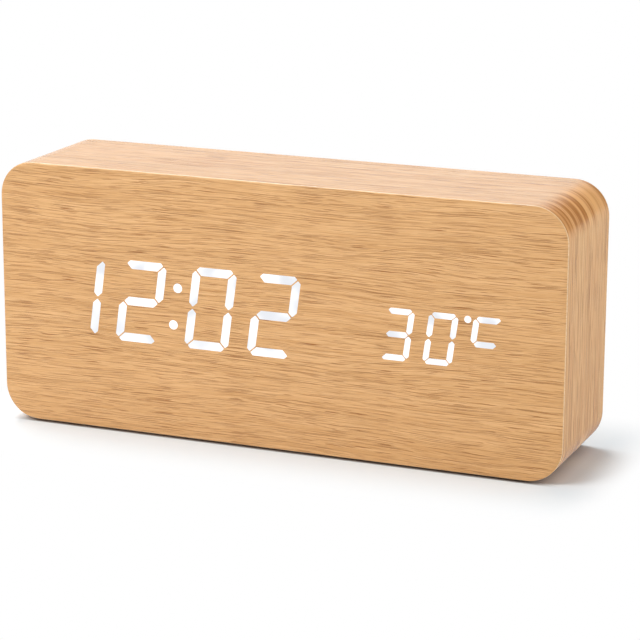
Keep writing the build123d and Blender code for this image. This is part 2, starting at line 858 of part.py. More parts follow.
def dome_arc(radius, rim):
    """Arc of a dome's skin, from its crown to its rim."""
    crown_to_rim = [0, rim / 2, rim]
    return ThreePointArc(*[(x, dome_centre_z + (radius ** 2 - x ** 2) ** 0.5) for x in crown_to_rim])


with BuildPart() as snap_dome:
    with BuildSketch(Plane.XZ):
        with BuildLine():
            dome_arc(dome_radius, dome_rim)
            Line((dome_rim, 0), (dome_inner_rim, 0))
            dome_arc(dome_radius - dome_thickness, dome_inner_rim)
            Line((0, dome_height - dome_thickness), (0, dome_height))
        make_face()
    revolve(axis=Axis.Z)
with BuildPart() as switch_domes:
    mirrored_buttons = [(-x, z) for x, z in button_places]
    with Locations(*placed_on(facing_back(dome_floor_y), mirrored_buttons)):
        add(snap_dome.part)
switch_domes.part.label = "switch_domes"
export_step(switch_domes.part, "parts/switch_domes.step")

# Socket shell: an oval tube from the control board to just under the back face
usb_mouth_y = back_y - usb_recess
with BuildPart() as usb_shell:
    with BuildSketch(facing_back(control_board_rear_y)):
        with Locations((-usb_x, control_z)):
            SlotOverall(usb_width, usb_height)
    extrude(amount=usb_mouth_y - control_board_rear_y)
    with BuildSketch(facing_back(control_board_rear_y + usb_floor_thickness)):
        with Locations((-usb_x, control_z)):
            SlotOverall(usb_width - 2 * usb_wall, usb_height - 2 * usb_wall)
    extrude(amount=usb_mouth_y - control_board_rear_y, mode=Mode.SUBTRACT)
usb_shell.part.label = "usb_shell"
export_step(usb_shell.part, "parts/usb_shell.step")

# Socket tongue
with BuildPart() as usb_tongue:
    with BuildSketch(facing_back(control_board_rear_y + usb_floor_thickness)):
        with Locations((-usb_x, control_z)):
            Rectangle(usb_tongue_width, usb_tongue_thickness)
    extrude(amount=usb_mouth_y - usb_tongue_recess - control_board_rear_y - usb_floor_thickness)
usb_tongue.part.label = "usb_tongue"
export_step(usb_tongue.part, "parts/usb_tongue.step")

# Microphone capsule behind its pinhole
with BuildPart() as microphone:
    with BuildSketch(facing_back(control_board_rear_y)):
        with Locations((-microphone_x, control_z)):
            Circle(microphone_diameter / 2)
    extrude(amount=microphone_length)
    fillet(microphone.faces().sort_by(Axis.Y)[-1].edges(), edge_softening)
microphone.part.label = "microphone"
export_step(microphone.part, "parts/microphone.step")

# Temperature sensor: a bead on two legs behind the vent holes
bead_y = control_board_rear_y + sensor_leg_length
with BuildPart() as temperature_sensor:
    with Locations((sensor_x, bead_y, control_z)):
        Sphere(sensor_bead_diameter / 2)
    with BuildSketch(facing_front(bead_y)):
        with Locations((sensor_x, control_z)):
            with GridLocations(sensor_leg_spacing, 1, 2, 1):
                Circle(sensor_leg_diameter / 2)
    extrude(amount=sensor_leg_length)
temperature_sensor.part.label = "temperature_sensor"
export_step(temperature_sensor.part, "parts/temperature_sensor.step")

# Sounder on the front of the control board
with BuildPart() as sounder:
    with BuildSketch(facing_front(control_board_front_y)):
        with Locations((sounder_x, control_z)):
            Circle(sounder_diameter / 2)
    extrude(amount=sounder_height)
    fillet(sounder.faces().sort_by(Axis.Y)[0].edges(), edge_softening)
    with BuildSketch(facing_front(control_board_front_y - sounder_height + sounder_hole_depth)):
        with Locations((sounder_x, control_z)):
            Circle(sounder_hole_diameter / 2)
    extrude(amount=sounder_hole_depth, mode=Mode.SUBTRACT)
sounder.part.label = "sounder"
export_step(sounder.part, "parts/sounder.step")

# Two electrolytic capacitors
with BuildPart() as capacitors:
    with BuildSketch(facing_front(control_board_front_y)):
        with Locations((capacitor_x, control_z)):
            with GridLocations(1, capacitor_spacing, 1, 2):
                Circle(capacitor_diameter / 2)
    extrude(amount=capacitor_height)
    fillet(capacitors.faces().sort_by(Axis.Y)[0:2].edges(), edge_softening)
capacitors.part.label = "capacitors"
export_step(capacitors.part, "parts/capacitors.step")

# Coin cell and its holder
holder_size = coin_cell_diameter + 2 * coin_cell_play + 2 * coin_holder_rim
holder_front_y = control_board_front_y - coin_holder_floor - coin_cell_thickness - coin_cell_play
with BuildPart() as coin_cell_holder:
    with BuildSketch(facing_front(control_board_front_y)):
        with Locations((coin_cell_x, control_z)):
            RectangleRounded(holder_size, holder_size, coin_holder_corner)
    extrude(amount=control_board_front_y - holder_front_y)
    with BuildSketch(facing_front(control_board_front_y - coin_holder_floor)):
        with Locations((coin_cell_x, control_z)):
            Circle(coin_cell_diameter / 2 + coin_cell_play)
    extrude(amount=coin_cell_thickness + coin_cell_play, mode=Mode.SUBTRACT)
coin_cell_holder.part.label = "coin_cell_holder"
export_step(coin_cell_holder.part, "parts/coin_cell_holder.step")

with BuildPart() as coin_cell:
    with BuildSketch(facing_front(control_board_front_y - coin_holder_floor)):
        with Locations((coin_cell_x, control_z)):
            Circle(coin_cell_diameter / 2)
    extrude(amount=coin_cell_thickness)
    fillet(coin_cell.faces().sort_by(Axis.Y)[0].edges(), edge_softening)
coin_cell.part.label = "coin_cell"
export_step(coin_cell.part, "parts/coin_cell.step")

# Control board's connectors: the display's, with leads leaving at the top, and the battery's, at its front
connector_mid_y = control_board_front_y - connector_depth / 2
with BuildPart() as control_connectors:
    with BuildSketch(facing_front(control_board_front_y)):
        with Locations((connector_x, control_z + connector_low_rise + connector_height / 2)):
            Rectangle(connector_width, connector_height)
        with Locations((battery_connector_x, control_z - connector_low_rise - connector_height / 2)):
            Rectangle(battery_connector_width, connector_height)
    extrude(amount=connector_depth)
control_connectors.part.label = "control_connectors"
export_step(control_connectors.part, "parts/control_connectors.step")


def lead(points, bend_share):
    """One insulated wire along points, each corner rounded to a share of its shorter run."""
    corners = [Vector(*point) for point in points]
    radii = []
    for before, corner, after in zip(corners, corners[1:], corners[2:]):
        turn = (corner - before).get_angle(after - corner)
        shorter = min((corner - before).length, (after - corner).length)
        radii.append(bend_share * shorter / tan(radians(turn / 2)))
    with BuildPart() as wire:
        with BuildLine() as route:
            FilletPolyline(*points, radius=radii)
        with BuildSketch(Plane(origin=route.line @ 0, z_dir=route.line % 0)):
            Circle(lead_diameter / 2)
        sweep(path=route.line)
    return wire.part


# Leads from the display board to the control board, in a loop over both connectors
display_plug_y = display_board_rear_y + connector_depth / 2
display_plug_z = display_z + connector_low_rise + connector_height
control_plug_z = control_z + connector_low_rise + connector_height
loop_top_z = display_plug_z + lead_loop_rise
display_wires = []
for index in range(display_lead_count):
    lead_x = connector_x + (index - (display_lead_count - 1) / 2) * lead_pitch
    loop_points = [
        (lead_x, display_plug_y, display_plug_z),
        (lead_x, display_plug_y, loop_top_z),
        (lead_x, connector_mid_y, loop_top_z),
        (lead_x, connector_mid_y, control_plug_z),
    ]
    display_wires.append(lead(loop_points, lead_bend_share))
with BuildPart() as display_leads:
    for wire in display_wires:
        add(wire)
display_leads.part.label = "display_leads"
export_step(display_leads.part, "parts/display_leads.step")

# Battery tray: a downward-open bay with a screw tab at each end, a notch for a finger and slots for contacts
row_places_y = [tray_y - row_pitch / 2, tray_y + row_pitch / 2]
contact_x = bay_length / 2 - contact_thickness / 2
with BuildPart() as battery_tray:
    with BuildSketch(Plane.XY.offset(base_z)):
        with Locations((0, tray_y)):
            Rectangle(tray_length, tray_width)
    extrude(amount=tray_top_z - base_z)
    with BuildSketch(Plane.XY.offset(base_z)):
        with Locations((0, tray_y)):
            Rectangle(flange_length, tray_width)
    extrude(amount=tray_tab_thickness)
    with BuildSketch(Plane.XY.offset(base_z)):
        with Locations((0, tray_y)):
            Rectangle(bay_length, bay_width)
    extrude(amount=tray_ceiling_z - base_z, mode=Mode.SUBTRACT)
    with BuildSketch(Plane.XY.offset(base_z)):
        with Locations((-bay_length / 2, tray_y)):
            Circle(finger_notch_radius)
    extrude(amount=finger_notch_depth, mode=Mode.SUBTRACT)
    with BuildSketch(Plane.XY.offset(tray_ceiling_z)):
        for row_y in row_places_y:
            with Locations((contact_x, row_y)):
                slot_x = contact_thickness + 2 * contact_slot_play
                Rectangle(slot_x, contact_tab_width + 2 * contact_slot_play)
    extrude(amount=tray_roof, mode=Mode.SUBTRACT)
    with BuildSketch(Plane(origin=(hinge_x, tray_y - tray_width / 2, hinge_z), z_dir=(0, 1, 0))):
        Circle(hinge_pin_diameter / 2 + inlay_play)
    extrude(amount=tray_width, mode=Mode.SUBTRACT)
    with Locations(*[(x, y, base_z) for x, y in tray_screw_places]):
        with Locations(Location((0, 0, 0), (180, 0, 0))):
            CounterSinkHole(
                tray_screw_diameter / 2 + screw_play,
                tray_screw_head_diameter / 2 + screw_play,
                tray_tab_thickness,
                90,
            )
battery_tray.part.label = "battery_tray"
export_step(battery_tray.part, "parts/battery_tray.step")

# Countersunk screws through the tray's tabs
with BuildPart() as tray_screw:
    with BuildSketch(Plane.XZ):
        with BuildLine():
            head_radius = tray_screw_head_diameter / 2
            shank_radius = tray_screw_diameter / 2
            Polyline(
                (0, 0),
                (head_radius, 0),
                (shank_radius, head_radius - shank_radius),
                (shank_radius, tray_screw_length),
                (0, tray_screw_length),
                close=True,
            )
        make_face()
    revolve(axis=Axis.Z)
    with BuildSketch():
        cross_recess()
    extrude(amount=cross_depth, mode=Mode.SUBTRACT)
with BuildPart() as tray_screws:
    with Locations(*[(x, y, base_z) for x, y in tray_screw_places]):
        add(tray_screw.part)
tray_screws.part.label = "tray_screws"
export_step(tray_screws.part, "parts/tray_screws.step")

# Battery door: a plate hinged at its right end, with ribs under the cells and a latch tongue
door_left_x = -bay_length / 2 + door_play
door_width = bay_width - 2 * door_play
rib_length = hinge_x - knuckle_radius - door_left_x - 2 * door_rib_inset
with BuildPart() as battery_door:
    with BuildSketch(Plane.XY.offset(base_z)):
        with Locations(((door_left_x + hinge_x) / 2, tray_y)):
            Rectangle(hinge_x - door_left_x, door_width)
    extrude(amount=door_thickness)
    with BuildSketch(Plane(origin=(hinge_x, tray_y - door_width / 2, hinge_z), z_dir=(0, 1, 0))):
        Circle(knuckle_radius)
    extrude(amount=door_width)
    with BuildSketch(Plane.XY.offset(base_z + door_thickness)):
        for row_y in row_places_y:
            with Locations((door_left_x + door_rib_inset + rib_length / 2, row_y)):
                Rectangle(rib_length, door_rib_width)
    extrude(amount=door_rib_height)
    with BuildSketch(Plane.XY.offset(base_z + door_thickness)):
        with Locations((door_left_x + latch_thickness / 2, tray_y)):
            Rectangle(latch_thickness, latch_width)
    extrude(amount=latch_height)
    with BuildSketch(Plane(origin=(hinge_x, tray_y - door_width / 2, hinge_z), z_dir=(0, 1, 0))):
        Circle(hinge_pin_diameter / 2 + hinge_pin_play)
    extrude(amount=door_width, mode=Mode.SUBTRACT)
battery_door.part.label = "battery_door"
export_step(battery_door.part, "parts/battery_door.step")

# Hinge pin, from one side wall of the tray to the other
with BuildPart() as door_pin:
    with BuildSketch(Plane(origin=(hinge_x, tray_y - tray_width / 2, hinge_z), z_dir=(0, 1, 0))):
        Circle(hinge_pin_diameter / 2)
    extrude(amount=tray_width)
door_pin.part.label = "door_pin"
export_step(door_pin.part, "parts/door_pin.step")

# Contact plates: one joins both rows at the left, and two at the right reach up through the tray's roof
with BuildPart() as contact_plates:
    with Locations((-contact_x, tray_y, cell_z)):
        Box(contact_thickness, row_pitch + contact_width, contact_height)
    for row_y in row_places_y:
        with Locations((contact_x, row_y, cell_z)):
            Box(contact_thickness, contact_width, contact_height)
        tab_rise = tray_top_z + contact_tab_rise - cell_z
        with Locations((contact_x, row_y, cell_z + tab_rise / 2)):
            Box(contact_thickness, contact_tab_width, tab_rise)
contact_plates.part.label = "contact_plates"
export_step(contact_plates.part, "parts/contact_plates.step")

# Contact springs, each from its plate to the flat end of a cell
coil_height = spring_length - spring_wire - 2 * inlay_play
with BuildPart() as coil_spring:
    with BuildLine() as coil_path:
        coil_radius = (spring_diameter - spring_wire) / 2
        Helix(pitch=coil_height / spring_turns, height=coil_height, radius=coil_radius)
    with BuildSketch(Plane(origin=coil_path.line @ 0, z_dir=coil_path.line % 0)):
        Circle(spring_wire / 2)
    sweep(path=coil_path.line, is_frenet=True)
spring_start = spring_wire / 2 + inlay_play
left_spring_x = -bay_length / 2 + contact_thickness + spring_start
with BuildPart() as contact_springs:
    left_plane = Plane(origin=(left_spring_x, row_places_y[0], cell_z), z_dir=(1, 0, 0))
    right_plane = Plane(origin=(-left_spring_x, row_places_y[1], cell_z), z_dir=(-1, 0, 0))
    with Locations(left_plane.location, right_plane.location):
        add(coil_spring.part)
contact_springs.part.label = "contact_springs"
export_step(contact_springs.part, "parts/contact_springs.step")


# One cell along local x, its flat end at 0 and its nub at cell_length
cell_body_end = cell_length - cell_nub_length
with BuildPart() as one_cell:
    with BuildSketch():
        with BuildLine():
            Polyline(
                (0, 0),
                (0, cell_diameter / 2),
                (cell_body_end, cell_diameter / 2),
                (cell_body_end, cell_nub_diameter / 2),
                (cell_length, cell_nub_diameter / 2),
                (cell_length, 0),
                close=True,
            )
        make_face()
    revolve(axis=Axis.X)
    fillet(one_cell.edges().filter_by(GeomType.CIRCLE).group_by(SortBy.RADIUS)[-1], cell_edge_radius)

# Four cells, in two rows of two: the front row points right and the back row left
with BuildPart() as battery_cells:
    row_start_x = -bay_length / 2 + contact_thickness + spring_length
    for index in range(2):
        cell_x = row_start_x + index * (cell_length + cell_end_gap)
        front_place = Location((cell_x, row_places_y[0], cell_z))
        back_place = Location((-cell_x, row_places_y[1], cell_z), (0, 0, 180))
        with Locations(front_place, back_place):
            add(one_cell.part)
battery_cells.part.label = "battery_cells"
export_step(battery_cells.part, "parts/battery_cells.step")

# Battery leads, up from the contact tabs and into the front of the battery connector
tab_z = tray_top_z + contact_tab_rise
plug_front_y = control_board_front_y - connector_depth
battery_plug_z = control_z - connector_low_rise - connector_height / 2
battery_wires = []
for side, row_y in zip((-1, 1), row_places_y):
    plug_x = battery_connector_x + side * lead_pitch / 2
    wire_points = [
        (contact_x, row_y, tab_z),
        (contact_x, row_y, battery_plug_z),
        (plug_x, plug_front_y - lead_stub, battery_plug_z),
        (plug_x, plug_front_y, battery_plug_z),
    ]
    battery_wires.append(lead(wire_points, lead_bend_share))
with BuildPart() as battery_leads:
    for wire in battery_wires:
        add(wire)
battery_leads.part.label = "battery_leads"
export_step(battery_leads.part, "parts/battery_leads.step")
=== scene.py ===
import json
import math

import bpy
from mathutils import Matrix, Vector


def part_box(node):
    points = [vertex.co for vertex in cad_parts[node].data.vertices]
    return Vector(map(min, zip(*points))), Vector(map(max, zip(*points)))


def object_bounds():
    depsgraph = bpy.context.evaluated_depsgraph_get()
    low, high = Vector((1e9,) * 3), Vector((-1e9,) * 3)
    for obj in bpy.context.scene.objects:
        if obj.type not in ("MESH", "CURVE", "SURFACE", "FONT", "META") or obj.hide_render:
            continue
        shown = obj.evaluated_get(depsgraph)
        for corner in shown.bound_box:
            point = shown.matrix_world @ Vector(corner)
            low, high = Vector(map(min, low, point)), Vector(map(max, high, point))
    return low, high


# Finishes, light and camera for a digital LED desk clock in a rounded oak box.
# Places are in metres in the frame of the model: X to the reader's right, Y to the back, Z up.
# Sizes inside a material are in millimetres.

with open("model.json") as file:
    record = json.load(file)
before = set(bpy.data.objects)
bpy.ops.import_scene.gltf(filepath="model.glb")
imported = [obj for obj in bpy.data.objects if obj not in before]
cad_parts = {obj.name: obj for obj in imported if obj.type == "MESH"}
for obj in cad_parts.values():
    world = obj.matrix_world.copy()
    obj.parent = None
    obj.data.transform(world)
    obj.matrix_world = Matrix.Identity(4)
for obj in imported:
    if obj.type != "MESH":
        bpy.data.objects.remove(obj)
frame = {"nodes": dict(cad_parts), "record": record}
cad_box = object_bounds()

MILLIMETRE = 0.001

# How far a seed moves a texture along X, Y and Z
SEED_STEPS = (1.0, 1.7, 2.3)

# The box. The front and back sheets turn pale along their own edge between two depths behind the face,
# which are shares of the softening. The pale line is their cut edge, lightened further as a painted
# highlight of the eased edge.
CORNER_RADIUS = 8.9
EDGE_SOFTENING = 0.3
EDGE_LINE_AND_HIGHLIGHT_ENDS = (0.1, 0.8)

# A battery cell: its length with the gap to the next one, how far its metal shows at each end, where its
# printed ring is and half the ring's width, and how softly the print ends
CELL_PITCH = 44.55
CELL_BARE_AT_NUB = 1.5
CELL_BARE_AT_BASE = 0.7
CELL_RING_PLACE = CELL_PITCH / 5
CELL_RING = 0.6
CELL_SOFTNESS = 0.1

# Most of a soft noise lies within its span, and clouds turn to their shade within theirs
NOISE_SPAN = (0.3, 0.7)
CLOUD_SPAN = (0.35, 0.7)

# How much smoother and rougher plastic and metal are in places
PLASTIC_SWING = 0.06
METAL_SMOOTHER = 0.07
METAL_ROUGHER = 0.09

# Shrunk film: the size of its ripples, how rough it gets, and its clear coat
FILM_RIPPLE_SIZE = (5, 0.9, 0.9)
FILM_ROUGHEST = 0.34
FILM_COAT = 0.3
FILM_COAT_ROUGHNESS = 0.15

# A circuit board: the pitch of its grid, and how large its patches of parallel traces are. A trace begins
# between two distances from the middle of a gap. A pad ends between two distances from a place on the
# grid, in steps of the pitch, and only places with a random number past the last two have one.
BOARD_PITCH = 2.54
BOARD_PATCH = 7.6
TRACE_ENDS = (0.26, 0.32)
PAD_ENDS = (0.24, 0.20)
PAD_LUCK_ENDS = (0.72, 0.74)

# The camera stands in front of the box, to its right and a little above it. It aims at a point
# beside the box's middle, which places the box in the picture as the photograph does.
LENS = 141.94
SENSOR = 36.0
CAMERA_AZIMUTH = 22.056
CAMERA_ELEVATION = 14.6725
CAMERA_ROLL = 0.2566
CAMERA_DISTANCE = 0.63635
CAMERA_CLIP = (0.01, 20.0)
AIM_HEIGHT = 0.0356
AIM_RIGHT = 0.00514
AIM_UP = -0.00582

# Square lamps, which all face the box: the place, the length of a side, and the watts
LAMPS = {
    "key": ((-0.62, -0.72, 0.80), 0.6, 9.5),
    "overhead": ((-0.40, 0.30, 0.95), 0.6, 5.8),
    "fill": ((1.15, -0.15, 0.22), 0.7, 7.3),
}
LAMP_AIM = (0.0, 0.0, 0.03)

# The sky, and what reflections see in its place: a backdrop, which gives way to a dim room where the
# X of a direction goes from the first to the second end
SKY_STRENGTH = 0.36
BACKDROP_STRENGTH = 1.1
DIM_STRENGTH = 0.05
BACKDROP_ENDS = (-0.2, 0.08)

# The floor, and half the length of its side. Reflections see it go from its left strength to its right
# one between two places on X. Its shadow goes over to plain white within a reach of the box, to the sides
# and to front and back. A painted shadow, a dark patch in the floor's colour under the box, fades within two
# distances of the box's outline.
FLOOR_HALF = 4.0
FLOOR_COLOUR = (0.875, 0.94, 0.985, 1.0)
# Painted shadow: the floor's colour under the box
FLOOR_PAINTED_SHADOW = (0.28, 0.25, 0.23, 1.0)
FLOOR_REFLECTED_LEFT = 1.0
FLOOR_REFLECTED_RIGHT = 0.5
FLOOR_REFLECTED_ENDS = (-40.0, 80.0)
SHADOW_REACH_X = 14.0
SHADOW_REACH_Y = 28.0
PAINTED_SHADOW_FADE_X = 1.15 * CORNER_RADIUS
PAINTED_SHADOW_FADE_Y = 1.0


def srgb(red, green, blue):
    """A colour as it looks on a screen, from 0 to 255, in the linear values that a shader takes."""
    levels = [channel / 255 for channel in (red, green, blue)]
    linear = [v / 12.92 if v <= 0.04045 else ((v + 0.055) / 1.055) ** 2.4 for v in levels]
    return (*linear, 1.0)


WHITE = (1.0, 1.0, 1.0, 1.0)
OAK_PALE = srgb(229, 178, 122)
OAK_DEEP = srgb(204, 150, 91)
OAK_BAND_PALE = srgb(230, 180, 117)
OAK_BAND_DEEP = srgb(209, 149, 90)
OAK_PORE = srgb(150, 90, 32)
# Pale flecks: partly the oak's own, partly a painted sheen
OAK_FLECK_AND_SHEEN = srgb(243, 200, 145)
# The sheets' pale cut edge, lightened as a painted highlight
OAK_EDGE_AND_HIGHLIGHT = srgb(239, 205, 160)
# The bent corners' grain, in colours darkened as a painted shade
OAK_BENT_SHADED_PALE = srgb(246, 186, 122)
OAK_BENT_SHADED_DEEP = srgb(184, 115, 56)

# The oak's grain sways and ripples by so many millimetres, and broad rings change its tone. A size is
# how long the blobs of a noise are along and across the grain.
OAK_SWAY_SIZE = (60, 14, 1)
OAK_SWAY = 4.0
OAK_RIPPLE_SIZE = (12, 2.4, 1)
OAK_RIPPLE = 0.6
OAK_RING_SIZE = (150, 3.4, 1)
OAK_RING_WEIGHT = 0.35

# Layers of fibres in the oak: the length, the width as a share of a streak's, and the weight
OAK_FIBRES = ((30.0, 1.1, 1.05), (10.0, 0.9, 0.9), (3.0, 0.9, 0.55))

# Marks in the oak: the length, the width as a share of a streak's, and the two levels of their noise
# between which they come in. Pores are dark and flecks are pale, and each kind shows by its share. The pale
# flecks are partly the oak's own flecks and partly a painted sheen.
OAK_SHORT_PORES = (6.0, 0.75, 0.64, 0.69)
OAK_LONG_PORES = (18.0, 0.6, 0.7, 0.74)
OAK_FLECK_AND_SHEEN_MARKS = (5.5, 0.9, 0.6, 0.76)
OAK_PORE_SHARE = 0.9
OAK_FLECK_AND_SHEEN_SHARE = 0.3

# Short pores crowd in some places, and show by no less than the sparse share elsewhere
OAK_CROWD_SIZE = (30, 2.6, 1)
OAK_CROWD_ENDS = (0.3, 0.6)
OAK_SPARSE_SHARE = 0.5

# How high the fibres stand beside a pore's depth of 1, and how much rougher the deep tone is than the
# pale one, at these tones
OAK_FIBRE_HEIGHT = 0.6
OAK_ROUGHER = 0.1
OAK_ROUGHER_ENDS = (-0.4, 0.4)

# The opened grain of the bent corners, in colours darkened as a painted shade: how far into the bend it
# comes in, as a share of the corner's radius, and how much of it shows there. Its figure has broad and
# thin streaks, each with a weight.
BENT_FADE = 0.45
BENT_SHARE = 0.85
BENT_BROAD_SIZE = (60, 2.6, 1)
BENT_BROAD_WEIGHT = 0.62
BENT_THIN_SIZE = (40, 0.5, 1)
BENT_THIN_WEIGHT = 0.38
BENT_FIGURE_ENDS = (0.4, 0.6)


class Surface:
    """One material, with short calls that add a node and give back what the node makes."""

    def __init__(self, name):
        self.material = bpy.data.materials.new(name)
        self.material.use_nodes = True
        self.tree = self.material.node_tree
        self.shader = self.tree.nodes["Principled BSDF"]
        metres = self.node("TexCoord").outputs["Object"]
        scaled = self.node("VectorMath", operation="SCALE")
        self.put(scaled.inputs[0], metres)
        scaled.inputs["Scale"].default_value = 1 / MILLIMETRE
        self.place = scaled.outputs[0]

    def node(self, kind, **settings):
        made = self.tree.nodes.new("ShaderNode" + kind)
        for setting, value in settings.items():
            setattr(made, setting, value)
        return made

    def put(self, socket, value):
        """Links a socket to what another node makes, or sets it to a number, vector or colour."""
        if isinstance(value, bpy.types.NodeSocket):
            self.tree.links.new(value, socket)
        else:
            socket.default_value = value

    def set(self, **values):
        """Sets the shader's own sockets: base_color is its Base Color, and so on."""
        for name, value in values.items():
            words = [word if word == "IOR" else word.capitalize() for word in name.split("_")]
            self.put(self.shader.inputs[" ".join(words)], value)

    def math(self, operation, *values):
        made = self.node("Math", operation=operation)
        for socket, value in zip(made.inputs, values):
            self.put(socket, value)
        return made.outputs[0]

    def total(self, first, first_weight, second, second_weight):
        """Two values added up, each times its weight."""
        second_part = self.math("MULTIPLY", second, second_weight)
        return self.math("MULTIPLY_ADD", first, first_weight, second_part)

    def split(self, place):
        made = self.node("SeparateXYZ")
        self.put(made.inputs[0], place)
        return made.outputs[0], made.outputs[1], made.outputs[2]

    def join(self, x, y, z):
        made = self.node("CombineXYZ")
        for socket, value in zip(made.inputs, (x, y, z)):
            self.put(socket, value)
        return made.outputs[0]

    def shrink(self, place, size, seed):
        """The place in steps of size, moved by a seed, so that no two textures match."""
        made = self.node("Mapping")
        self.put(made.inputs["Vector"], place)
        made.inputs["Location"].default_value = [step * seed for step in SEED_STEPS]
        made.inputs["Scale"].default_value = [1 / step for step in size]
        return made.outputs[0]

    def noise(self, size, place=None, detail=2.0, roughness=0.5, seed=0.0):
        """Soft noise from 0 to 1, with blobs about size (x, y, z) millimetres long."""
        made = self.node("TexNoise")
        self.put(made.inputs["Vector"], self.shrink(place or self.place, size, seed))
        made.inputs["Scale"].default_value = 1.0
        made.inputs["Detail"].default_value = detail
        made.inputs["Roughness"].default_value = roughness
        return made.outputs["Fac"]

    def cells(self, size, place=None, randomness=1.0, seed=0.0):
        """Scattered points about size apart. Returns how far the nearest one is, in steps, and its number,
        which is random, from 0 to 1."""
        made = self.node("TexVoronoi")
        self.put(made.inputs["Vector"], self.shrink(place or self.place, size, seed))
        made.inputs["Scale"].default_value = 1.0
        made.inputs["Randomness"].default_value = randomness
        return made.outputs["Distance"], self.split(made.outputs["Color"])[0]

    def ramp(self, value, start, end, low=0.0, high=1.0):
        """Goes smoothly from low to high while the value goes from start to end."""
        made = self.node("MapRange", interpolation_type="SMOOTHSTEP")
        for socket, number in zip(made.inputs, (value, start, end, low, high)):
            self.put(socket, number)
        return made.outputs[0]

    def mix(self, share, first, second):
        """A colour between the first, at share 0, and the second, at share 1."""
        made = self.node("Mix", data_type="RGBA")
        self.put(made.inputs[0], share)
        self.put(made.inputs[6], first)
        self.put(made.inputs[7], second)
        return made.outputs[2]

    def relief(self, height, depth):
        """Raises the surface by height, where 1 is depth millimetres."""
        made = self.node("Bump")
        made.inputs["Distance"].default_value = depth * MILLIMETRE
        self.put(made.inputs["Height"], height)
        self.put(self.shader.inputs["Normal"], made.outputs[0])


def front_coordinates(surface):
    """Along the grain and across it on the front and back, where the grain is level."""
    x, _, z = surface.split(surface.place)
    return x, z


def band_coordinates(surface):
    """Along the band from the middle of the top, round the corners to the middle of the bottom, and
    across it."""
    low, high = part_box("wrap_veneer")
    straight_x = (high.x - low.x) / 2 / MILLIMETRE - CORNER_RADIUS
    straight_z = (high.z - low.z) / 2 / MILLIMETRE - CORNER_RADIUS
    middle_z = (high.z + low.z) / 2 / MILLIMETRE
    x, y, z = surface.split(surface.place)
    side = surface.math("ABSOLUTE", x)
    above = surface.math("SUBTRACT", z, middle_z)
    rise = surface.math("ABSOLUTE", above)
    past_x = surface.math("MAXIMUM", surface.math("SUBTRACT", side, straight_x), 0.0)
    past_z = surface.math("MAXIMUM", surface.math("SUBTRACT", rise, straight_z), 0.0)
    bend = surface.math("MULTIPLY", surface.math("ARCTAN2", past_x, past_z), CORNER_RADIUS)
    level_run = surface.math("MINIMUM", side, straight_x)
    upright_run = surface.math("SUBTRACT", straight_z, surface.math("MINIMUM", rise, straight_z))
    run = surface.math("ADD", surface.math("ADD", level_run, bend), upright_run)
    quarter = straight_x + CORNER_RADIUS * math.pi / 2 + straight_z
    below = surface.math("LESS_THAN", above, 0.0)
    mirrored = surface.math("SUBTRACT", 2 * quarter, run)
    folded = surface.node("Mix", data_type="FLOAT")
    surface.put(folded.inputs[0], below)
    surface.put(folded.inputs[2], run)
    surface.put(folded.inputs[3], mirrored)
    return surface.math("MULTIPLY", folded.outputs[0], surface.math("SIGN", x)), y


def oak(name, coordinates, seed, tones, width, stretch, contrast, depth, roughness):
    """Satin oak veneer: fine streaks of every length run with a swaying grain, and pores are dark dashes.
    Pale flecks are partly the oak's own and partly a painted sheen.
    The wood goes from the first to the second of the tones. Streaks are width millimetres wide and stretch
    times as long as on plain oak; depth is how deep the grain stands. Returns the surface and its colour."""
    surface = Surface(name)
    along, across = coordinates(surface)
    flat = surface.join(along, across, seed)
    sway = surface.noise(OAK_SWAY_SIZE, flat, detail=1.0, seed=seed)
    ripple = surface.noise(OAK_RIPPLE_SIZE, flat, detail=1.0, seed=seed + 3)
    shift = surface.total(sway, OAK_SWAY, ripple, OAK_RIPPLE)
    grain = surface.join(along, surface.math("ADD", across, shift), seed)

    def marks(length, share, start, end, detail, step):
        """Scattered marks along the grain, from 0 to 1. Their own step keeps them apart from the others."""
        noise = surface.noise((stretch * length, share * width, 1), grain, detail=detail, seed=seed + step)
        return surface.ramp(noise, start, end)

    fibres = 0.0
    for length, share, weight in OAK_FIBRES:
        noise = surface.noise((stretch * length, share * width, 1), grain, detail=0.0, seed=seed + length)
        fibres = surface.math("MULTIPLY_ADD", surface.math("SUBTRACT", noise, 0.5), weight, fibres)
    rings = surface.noise(OAK_RING_SIZE, grain, detail=1.0, seed=seed + 5)
    tone = surface.math("MULTIPLY_ADD", surface.math("SUBTRACT", rings, 0.5), OAK_RING_WEIGHT, fibres)
    spread = 0.5 / contrast
    colour = surface.mix(surface.ramp(tone, -spread, spread), *tones)

    crowding = surface.noise(OAK_CROWD_SIZE, grain, detail=1.0, seed=seed + 17)
    crowd = surface.ramp(crowding, *OAK_CROWD_ENDS, OAK_SPARSE_SHARE, 1.0)
    short_pores = surface.math("MULTIPLY", marks(*OAK_SHORT_PORES, detail=0.5, step=13), crowd)
    long_pores = marks(*OAK_LONG_PORES, detail=0.0, step=19)
    pores = surface.math("MAXIMUM", short_pores, long_pores)
    # Painted sheen: pale flecks in the grain, partly the oak's own flecks and partly glints of the satin
    # finish
    flecks_and_sheen = marks(*OAK_FLECK_AND_SHEEN_MARKS, detail=1.0, step=23)
    colour = surface.mix(surface.math("MULTIPLY", flecks_and_sheen, OAK_FLECK_AND_SHEEN_SHARE * contrast), colour, OAK_FLECK_AND_SHEEN)
    colour = surface.mix(surface.math("MULTIPLY", pores, OAK_PORE_SHARE * contrast), colour, OAK_PORE)

    surface.relief(surface.total(fibres, OAK_FIBRE_HEIGHT, pores, -1.0), depth)
    surface.set(roughness=surface.ramp(tone, *OAK_ROUGHER_ENDS, roughness, roughness + OAK_ROUGHER))
    return surface, colour


